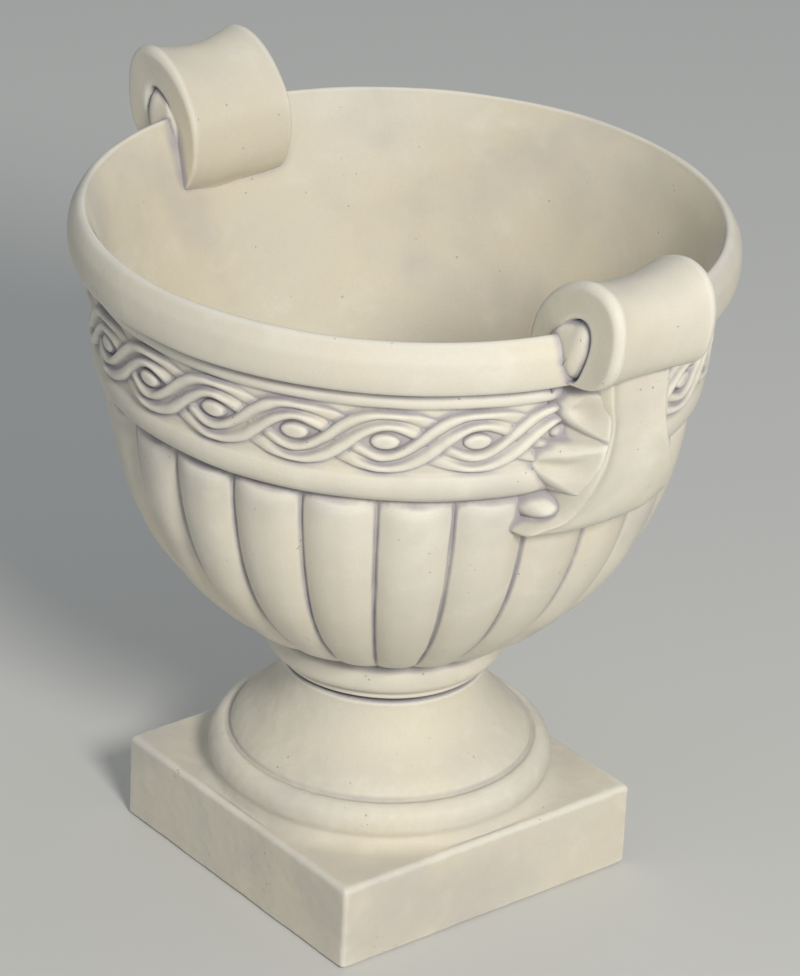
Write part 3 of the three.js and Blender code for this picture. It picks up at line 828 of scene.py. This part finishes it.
class URN_OT_gadroons(bpy.types.Operator):
    """Builds one gadroon and repeats it round the bowl"""

    bl_idname = "urn.gadroons"
    bl_label = "Gadroons"

    ACROSS = 34
    TOP = 333
    SHOULDER = 6.5
    CORNER = 9.5
    UNDERCUT = 7.0
    CREASE = 1.8
    CREASE_WIDTH = 0.045
    # Heights between which the grooves reach their full depth.
    DEEPENING = (168, 196)
    WIDEST = 180

    def execute(self, context):
        settings = context.scene.urn_bowl
        piece = sheet("bowl_gadroons", self.lobe(settings))
        ringed(piece, settings.lobes, settings.lobe_start)
        worn(piece, 0.45, 30, 2.0)
        worn_and_highlit_edges(piece, 14, 0.75)
        dressed(piece, "bowl_stone", "bowl")
        return {"FINISHED"}

    def lobe(self, settings):
        """A lobe from groove to groove, with a square shoulder under the bead."""
        profile = evenly(rounded(GADROON), 1.9)
        half = math.pi / settings.lobes
        even = np.linspace(-1, 1, self.ACROSS + 1)
        share = 0.6 * np.sin(even * math.pi / 2) + 0.4 * even
        side = np.abs(share)[None, :]
        low = smoothstep(profile[:, 1], *self.DEEPENING)[:, None]
        fall = settings.lobe_depth / MM * (0.35 + 0.65 * low) * side**2.4
        crease = self.CREASE * (0.5 + 0.5 * low) * np.exp(-(((1 - side) / self.CREASE_WIDTH) ** 2))

        girth = self.WIDEST * half
        past = np.clip((side * girth - girth + self.CORNER) / self.CORNER, 0, 0.98)
        corner = self.CORNER * (1 - np.sqrt(1 - past**2))
        down = (self.TOP - profile[:, 1])[:, None]
        top = self.UNDERCUT * (1 - shoulder(down - corner, self.SHOULDER))
        radius = profile[:, 0][:, None] - np.maximum(fall + crease, top)
        return polar(radius, share * half, profile[:, 1:])


class URN_OT_frieze(bpy.types.Operator):
    """Builds one strand of the twist and one boss, and repeats them round the bowl"""

    bl_idname = "urn.frieze"
    bl_label = "Frieze"

    # How far a strand dips towards its ends, and the eyes from its crossing that it dips over.
    DIP = 0.82
    DIPPING = (0.5, 1.1)
    # A boss from its foot up: share of its half size, and share of its height.
    DOME = [
        (1, -1.5), (1, 0), (0.985, 0.3), (0.94, 0.52), (0.86, 0.7), (0.7, 0.87), (0.5, 0.96), (0.25, 1),
        (0, 1),
    ]

    def execute(self, context):
        settings = context.scene.urn_frieze
        for name, points, around in (
            ("frieze_strands", self.strand(settings), False),
            ("frieze_bosses", self.boss(settings), True),
        ):
            piece = sheet(name, points, around=around)
            ringed(piece, settings.eyes, settings.first_eye)
            worn(piece, 0.3, 9, 4.0)
            worn_and_highlit_edges(piece, 5, 0.3)
            dressed(piece, "bowl_stone", "bowl")
        return {"FINISHED"}

    def wrapped(self, settings, eyes, up, out):
        """Points on the frieze: eyes along, up from its middle, out from its ground."""
        height = settings.middle / MM + up
        angles = 2 * math.pi * eyes / settings.eyes
        return polar(body_radius(height) + out, angles, height)

    def strand(self, settings):
        """An S-shaped strand, over its crossing and under the next ones at both ends."""
        rise = np.array(STRAND)
        start = np.hstack([1 - rise[:0:-1, :1], -rise[:0:-1, :0:-1]])
        along, high, ridge, low_ridge, low = rounded(np.vstack([start, rise]), 2).T[:, :, None]
        share, section = rounded(STRAND_SECTION, 1).T
        middle = (ridge + low_ridge) / 2

        def half(edge, crest):
            """From an edge over its ridge to the strand's middle."""
            over = np.clip(share, 0, 1), np.clip(share - 1, 0, 1)
            return edge + (crest - edge) * over[0] + (middle - crest) * over[1]

        up = np.hstack([half(low, low_ridge), half(high, ridge)[:, -2::-1]])
        section = np.concatenate([section, section[-2::-1]])
        lift = 1 - self.DIP * smoothstep(np.abs(along - 0.5), *self.DIPPING)
        out = settings.relief / MM * np.where(section > 0, section * lift, section)
        return self.wrapped(settings, along + 0 * up, up, out).transpose(1, 0, 2)

    def boss(self, settings):
        """An oval dome that stands straight out of the frieze's ground."""
        turn = np.linspace(0, 2 * math.pi, 36, endpoint=False)
        share, rise = np.array(self.DOME).T[:, :, None]
        girth = 2 * math.pi * body_radius(settings.middle / MM) / settings.eyes
        along = share * settings.boss_length / MM / girth * np.cos(turn)
        up = share * settings.boss_height / MM * np.sin(turn)
        return self.wrapped(settings, along, up, rise * settings.boss_relief / MM)


class URN_OT_handles(bpy.types.Operator):
    """Builds the two strap handles, with saddled tops and recessed side panels"""

    bl_idname = "urn.handles"
    bl_label = "Handles"

    TONGUE = 4.5
    # The panel's wall, from its edge: how far past it, and share of the depth.
    PANEL_WALL = [(0.7, 0.08), (0.1, 0.25), (-0.3, 0.5), (-0.8, 0.8)]

    def execute(self, context):
        points = self.points(context.scene.urn_handle)
        for name, side in (("right", 1), ("left", -1)):
            piece = sheet(f"handle_{name}_casting", points * (side, side, 1), around=True)
            worn(piece, 0.6, 24, 7.0 * side)
            worn_and_highlit_edges(piece, 12, 0.8)
            dressed(piece, "bowl_stone", f"handle_{name}")
        return {"FINISHED"}

    def points(self, settings):
        """Rings from the middle of the strap over its edge and into the side panel."""
        line = rounded(HANDLE, 3, closed=True)
        outer, panel, dip, edge = line[:, :2], line[:, 2:4], line[:, 4:5], line[:, 5:6]
        band = np.linalg.norm(panel - outer, axis=1, keepdims=True)
        inward = (panel - outer) / band
        half = settings.half_width / MM
        deepest = settings.panel_depth / MM

        rings = []
        for share in np.linspace(0, 1, 18):
            rings.append((outer + inward * dip * (1 - share**2), share * (half - edge)))
        for turn in np.linspace(0, math.pi / 2, 9)[1:]:
            rings.append((outer + inward * edge * (1 - math.cos(turn)), half - edge * (1 - math.sin(turn))))
        lip = np.maximum(band - 1.8, edge)
        for share in np.linspace(0, 1, 8)[1:]:
            rings.append((outer + inward * (edge + (lip - edge) * share), half + 0 * edge))
        depth = self.depth(panel, 0, deepest)
        for past, share in self.PANEL_WALL:
            rings.append((panel - inward * past, half - depth * share))
        for share in np.linspace(0.05, 1, 14):
            ring = panel + (np.array(HANDLE_CENTRE) - panel) * share
            rings.append((ring, half - self.depth(ring, share, deepest)))

        rows = [self.row(ring, -across) for ring, across in rings[:0:-1]]
        rows += [self.row(ring, across) for ring, across in rings]
        return np.stack(rows)

    def depth(self, ring, share, deepest):
        """The panel is a groove along the strap that runs out over a swelling tongue."""
        swelling = math.sqrt(1 - (1 - share) ** 2)
        groove = deepest * smoothstep(ring[:, :1], 190, 205)
        return groove * (1 - swelling) - self.TONGUE * swelling

    def row(self, ring, across):
        return np.stack([ring[:, 0], across[:, 0], ring[:, 1]], axis=-1)


class URN_OT_leaves(bpy.types.Operator):
    """Carves the fluted leaf with its side lobes below each handle"""

    bl_idname = "urn.leaves"
    bl_label = "Leaves"

    # The patch that the lobes stand on, and how far it lies to one side.
    HALF = 63
    BOTTOM = 312
    TOP = 418
    OFFSET = 4
    # Height, then the radius that the lobes rise from and of their root in the wall.
    BASE = [
        (312, 179, 163), (325, 180, 165.5), (352, 187, 172), (370, 187.6, 176), (392, 188.4, 181),
        (418, 189, 187),
    ]
    # The lobes stay under the flute: under its middle, and under its ridges beside it.
    UNDER_MIDDLE = 1.5
    UNDER_RIDGE = 1.2
    # The web between lobes and ridge: its drop at the ridge, its fall for each mm
    # farther out, and where and how deep it fades out at its lower end.
    WEB_DROP = 3.5
    WEB_FALL = 2.1
    WEB_FADE = (330, 343)
    WEB_DEPTH = 30
    # Distance across at which the lobes' heights are given.
    GAUGE = 45

    def execute(self, context):
        settings = context.scene.urn_leaf
        for part, points in (("flute", self.flute()), ("lobes", self.lobes(settings))):
            for name, side in (("right", 1), ("left", -1)):
                piece = sheet(f"leaf_{name}_{part}", points * (side, side, 1))
                worn(piece, 0.4, 12, 9.0 * side)
                worn_and_highlit_edges(piece, 12, 0.8)
                dressed(piece, "bowl_stone", f"leaf_{name}")
        return {"FINISHED"}

    def flute(self):
        """The hollow middle between two ridges, down to the lip that turns under."""
        height, width, ridge, middle, aside = rounded(LEAF_FLUTE[::-1], 3).T[:, :, None]
        share, rise = rounded(LEAF_HOLLOW, 2).T
        past, fall = rounded([(0, 0)] + LEAF_FLANK, 2)[1:].T
        across = np.hstack([width * share, width + past])
        radius = np.hstack([middle + (ridge - middle) * rise, ridge + fall])
        radius = np.maximum(radius, body_radius(height) - 6)
        across = np.hstack([-across[:, :0:-1], across])
        radius = np.hstack([radius[:, :0:-1], radius])
        return self.on_bowl(radius, across + aside, height)

    def on_bowl(self, radius, across, height):
        """Points by their radius, their distance across and their height."""
        return np.stack([np.sqrt(radius**2 - across**2), across, height + 0 * across], axis=-1)

    def lobes(self, settings):
        """The lobes down both sides, as relief over the bowl."""
        step = settings.step / MM
        across = np.linspace(-self.HALF, self.HALF, int(2 * self.HALF / step) + 1)
        height = np.linspace(self.BOTTOM, self.TOP, int((self.TOP - self.BOTTOM) / step) + 1)
        y, z = np.meshgrid(across, height)
        side = np.abs(y)
        heights, base, root = np.array(self.BASE, float).T
        base, root = np.interp(z, heights, base), np.interp(z, heights, root)
        flute = np.array(LEAF_FLUTE[:-1])[::-1]
        width, ridge, middle, aside = (np.interp(z, flute[:, 0], flute[:, k]) for k in (1, 2, 3, 4))
        outside = np.abs(y + self.OFFSET - aside) - width
        highest = np.where(outside < -0.5, middle - self.UNDER_MIDDLE, ridge - self.UNDER_RIDGE)
        web = ridge - self.WEB_DROP - self.WEB_FALL * np.maximum(outside, 0)
        radius = np.maximum(root, web - self.WEB_DEPTH * (1 - smoothstep(z, *self.WEB_FADE)))
        for outline, rise, lean, rounding, line, groove, breadth in LEAF_LOBES:
            depth = inside_depth(side, z, rounded(outline, 2, closed=True))
            top = base + rise + lean * (self.GAUGE - side)
            pillow = root + (top - root) * shoulder(depth, rounding)
            vein = np.exp(-((line_distance(side, z, rounded(line, 2)) / breadth) ** 2))
            vein *= smoothstep(depth, 0, 5) * smoothstep(outside, 1, 10)
            radius = np.maximum(radius, pillow - groove * settings.groove * vein)
        return self.on_bowl(np.minimum(radius, highest), y + self.OFFSET, z)


class URN_OT_wash_and_shade(bpy.types.Operator):
    """Finds how shut in each point of the stone is, for the grey wash left in the hollows and the painted
    shade in the deep crevices
    """

    bl_idname = "urn.antiquing"
    bl_label = "Antiquing"

    def execute(self, context):
        pieces = [
            item for item in bpy.data.objects if item.type == "MESH" and EDGE in item.data.attributes
        ]
        if not pieces:
            raise RuntimeError("The stone pieces are built before their antiquing")
        whole = bmesh.new()
        for piece in pieces:
            whole.from_mesh(piece.data)
        mesh = bpy.data.meshes.new("stone_together")
        whole.to_mesh(mesh)
        whole.free()
        together = placed("stone_together", mesh)
        settings = context.scene.urn_stone
        shaped(together, wash_and_shade_in_hollows(), {"Reach": settings.reach, "Material": finish("bowl_stone")})
        values = np.empty(len(together.data.vertices))
        together.data.attributes[RECESS].data.foreach_get("value", values)
        counts = np.cumsum([len(piece.data.vertices) for piece in pieces])
        for piece, part in zip(pieces, np.split(values, counts[:-1])):
            store(piece.data, RECESS, part)
        bpy.data.objects.remove(together)
        return {"FINISHED"}


class URN_OT_joints(bpy.types.Operator):
    """Finishes the mortar, dowels, pins and drain sleeve, which keep their own solids"""

    bl_idname = "urn.joints"
    bl_label = "Joints"

    FINISHES = {"_bed": "mortar", "_dowel": "stainless", "_pin_": "stainless", "_sleeve": "sleeve_plastic"}

    def execute(self, context):
        for name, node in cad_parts.items():
            for key in (self.FINISHES[word] for word in self.FINISHES if word in name):
                for slot in node.material_slots:
                    slot.link = "OBJECT"
                    slot.material = finish(key)
        return {"FINISHED"}


class URN_OT_stage(bpy.types.Operator):
    """Sets the floor, the soft lights and the camera"""

    bl_idname = "urn.stage"
    bl_label = "Stage"

    # The photograph's camera, found from the urn's own outlines.
    CAMERA_PLACE = (1.9413, -1.5889, 1.5114)
    CAMERA_HEADING = math.radians(140.59)
    CAMERA_PITCH = math.radians(26.62)
    CAMERA_ROLL = math.radians(2.92)
    CAMERA_LENS = 166.0
    # What the lamps face.
    CENTRE = Vector((0, 0, 0.26))
    FLOOR_HALF = 12

    def execute(self, context):
        self.floor()
        self.lights(context)
        self.camera(context)
        return {"FINISHED"}

    def floor(self):
        mesh = bpy.data.meshes.new("floor")
        corners = [Vector((x, y, 0)) * self.FLOOR_HALF for x, y in ((-1, -1), (1, -1), (1, 1), (-1, 1))]
        mesh.from_pydata(corners, [], [(0, 1, 2, 3)])
        bench = FinishBench("floor")
        bench.feed(bench.shader, {"Base Color": (0.62, 0.62, 0.60, 1), "Roughness": 0.9})
        mesh.materials.append(bench.material)
        placed("floor", mesh)

    def lights(self, context):
        settings = context.scene.urn_stage
        key = self.direction(settings.key_azimuth, settings.key_height)
        self.lamp("key", key, settings.key_power, distance=3.4, size=0.8, colour=(1.0, 0.965, 0.90))
        fill = self.direction(settings.key_azimuth + math.radians(150), math.radians(55))
        self.lamp("fill", fill, settings.fill_power, distance=3.2, size=2.2, colour=(1, 1, 1))
        world = bpy.data.worlds.new("studio")
        world.use_nodes = True
        background = world.node_tree.nodes["Background"]
        Bench(world.node_tree).feed(background, {"Color": (0.90, 0.95, 1.0, 1), "Strength": settings.sky})
        context.scene.world = world

    def direction(self, azimuth, elevation):
        level = math.cos(elevation)
        return Vector((math.cos(azimuth) * level, math.sin(azimuth) * level, math.sin(elevation)))

    def lamp(self, name, away, power, distance, size, colour):
        data = bpy.data.lights.new(name, "AREA")
        data.shape = "DISK"
        data.size = size
        data.energy = power
        data.color = colour
        lamp = placed(name, data)
        lamp.location = self.CENTRE + away * distance
        lamp.rotation_euler = away.to_track_quat("Z", "Y").to_euler()

    def camera(self, context):
        data = bpy.data.cameras.new("camera")
        data.lens = self.CAMERA_LENS
        data.sensor_width = 36
        data.clip_end = 60
        ahead = self.direction(self.CAMERA_HEADING, -self.CAMERA_PITCH)
        level = Vector((math.sin(self.CAMERA_HEADING), -math.cos(self.CAMERA_HEADING), 0))
        right = math.cos(self.CAMERA_ROLL) * level + math.sin(self.CAMERA_ROLL) * level.cross(ahead)
        facing = Matrix((right, right.cross(ahead), -ahead)).transposed().to_4x4()
        camera = placed("camera", data)
        camera.matrix_world = Matrix.Translation(self.CAMERA_PLACE) @ facing
        context.scene.camera = camera


class URN_PT_panel(bpy.types.Panel):
    """Sidebar panel with the urn's operators and sizes"""

    bl_label = "Urn planter"
    bl_idname = "URN_PT_panel"
    bl_space_type = "VIEW_3D"
    bl_region_type = "UI"
    bl_category = "Urn"

    def draw(self, context):
        for operator in OPERATORS:
            self.layout.operator(operator.bl_idname)
        for name in SETTINGS:
            group = getattr(context.scene, name)
            box = self.layout.box()
            for key in group.__annotations__:
                box.prop(group, key)


SETTINGS = {
    "urn_bowl": UrnBowlSettings,
    "urn_frieze": UrnFriezeSettings,
    "urn_handle": UrnHandleSettings,
    "urn_leaf": UrnLeafSettings,
    "urn_stone": UrnStoneSettings,
    "urn_stage": UrnStageSettings,
}
OPERATORS = [
    URN_OT_pedestal, URN_OT_bowl, URN_OT_gadroons, URN_OT_frieze, URN_OT_handles, URN_OT_leaves,
    URN_OT_wash_and_shade, URN_OT_joints, URN_OT_stage,
]


def register():
    for group in SETTINGS.values():
        bpy.utils.register_class(group)
    for name, group in SETTINGS.items():
        setattr(bpy.types.Scene, name, PointerProperty(type=group))
    for operator in OPERATORS:
        bpy.utils.register_class(operator)
    bpy.utils.register_class(URN_PT_panel)


def unregister():
    bpy.utils.unregister_class(URN_PT_panel)
    for operator in reversed(OPERATORS):
        bpy.utils.unregister_class(operator)
    for name, group in SETTINGS.items():
        delattr(bpy.types.Scene, name)
        bpy.utils.unregister_class(group)


def main():
    register()
    bpy.context.scene.view_settings.view_transform = "Standard"
    bpy.ops.urn.pedestal()
    bpy.ops.urn.bowl()
    bpy.ops.urn.gadroons()
    bpy.ops.urn.frieze()
    bpy.ops.urn.handles()
    bpy.ops.urn.leaves()
    # The shut-in values feed the grey wash and the painted shade in deep crevices.
    bpy.ops.urn.antiquing()
    bpy.ops.urn.joints()
    bpy.ops.urn.stage()


if __name__ == "__main__":
    main()
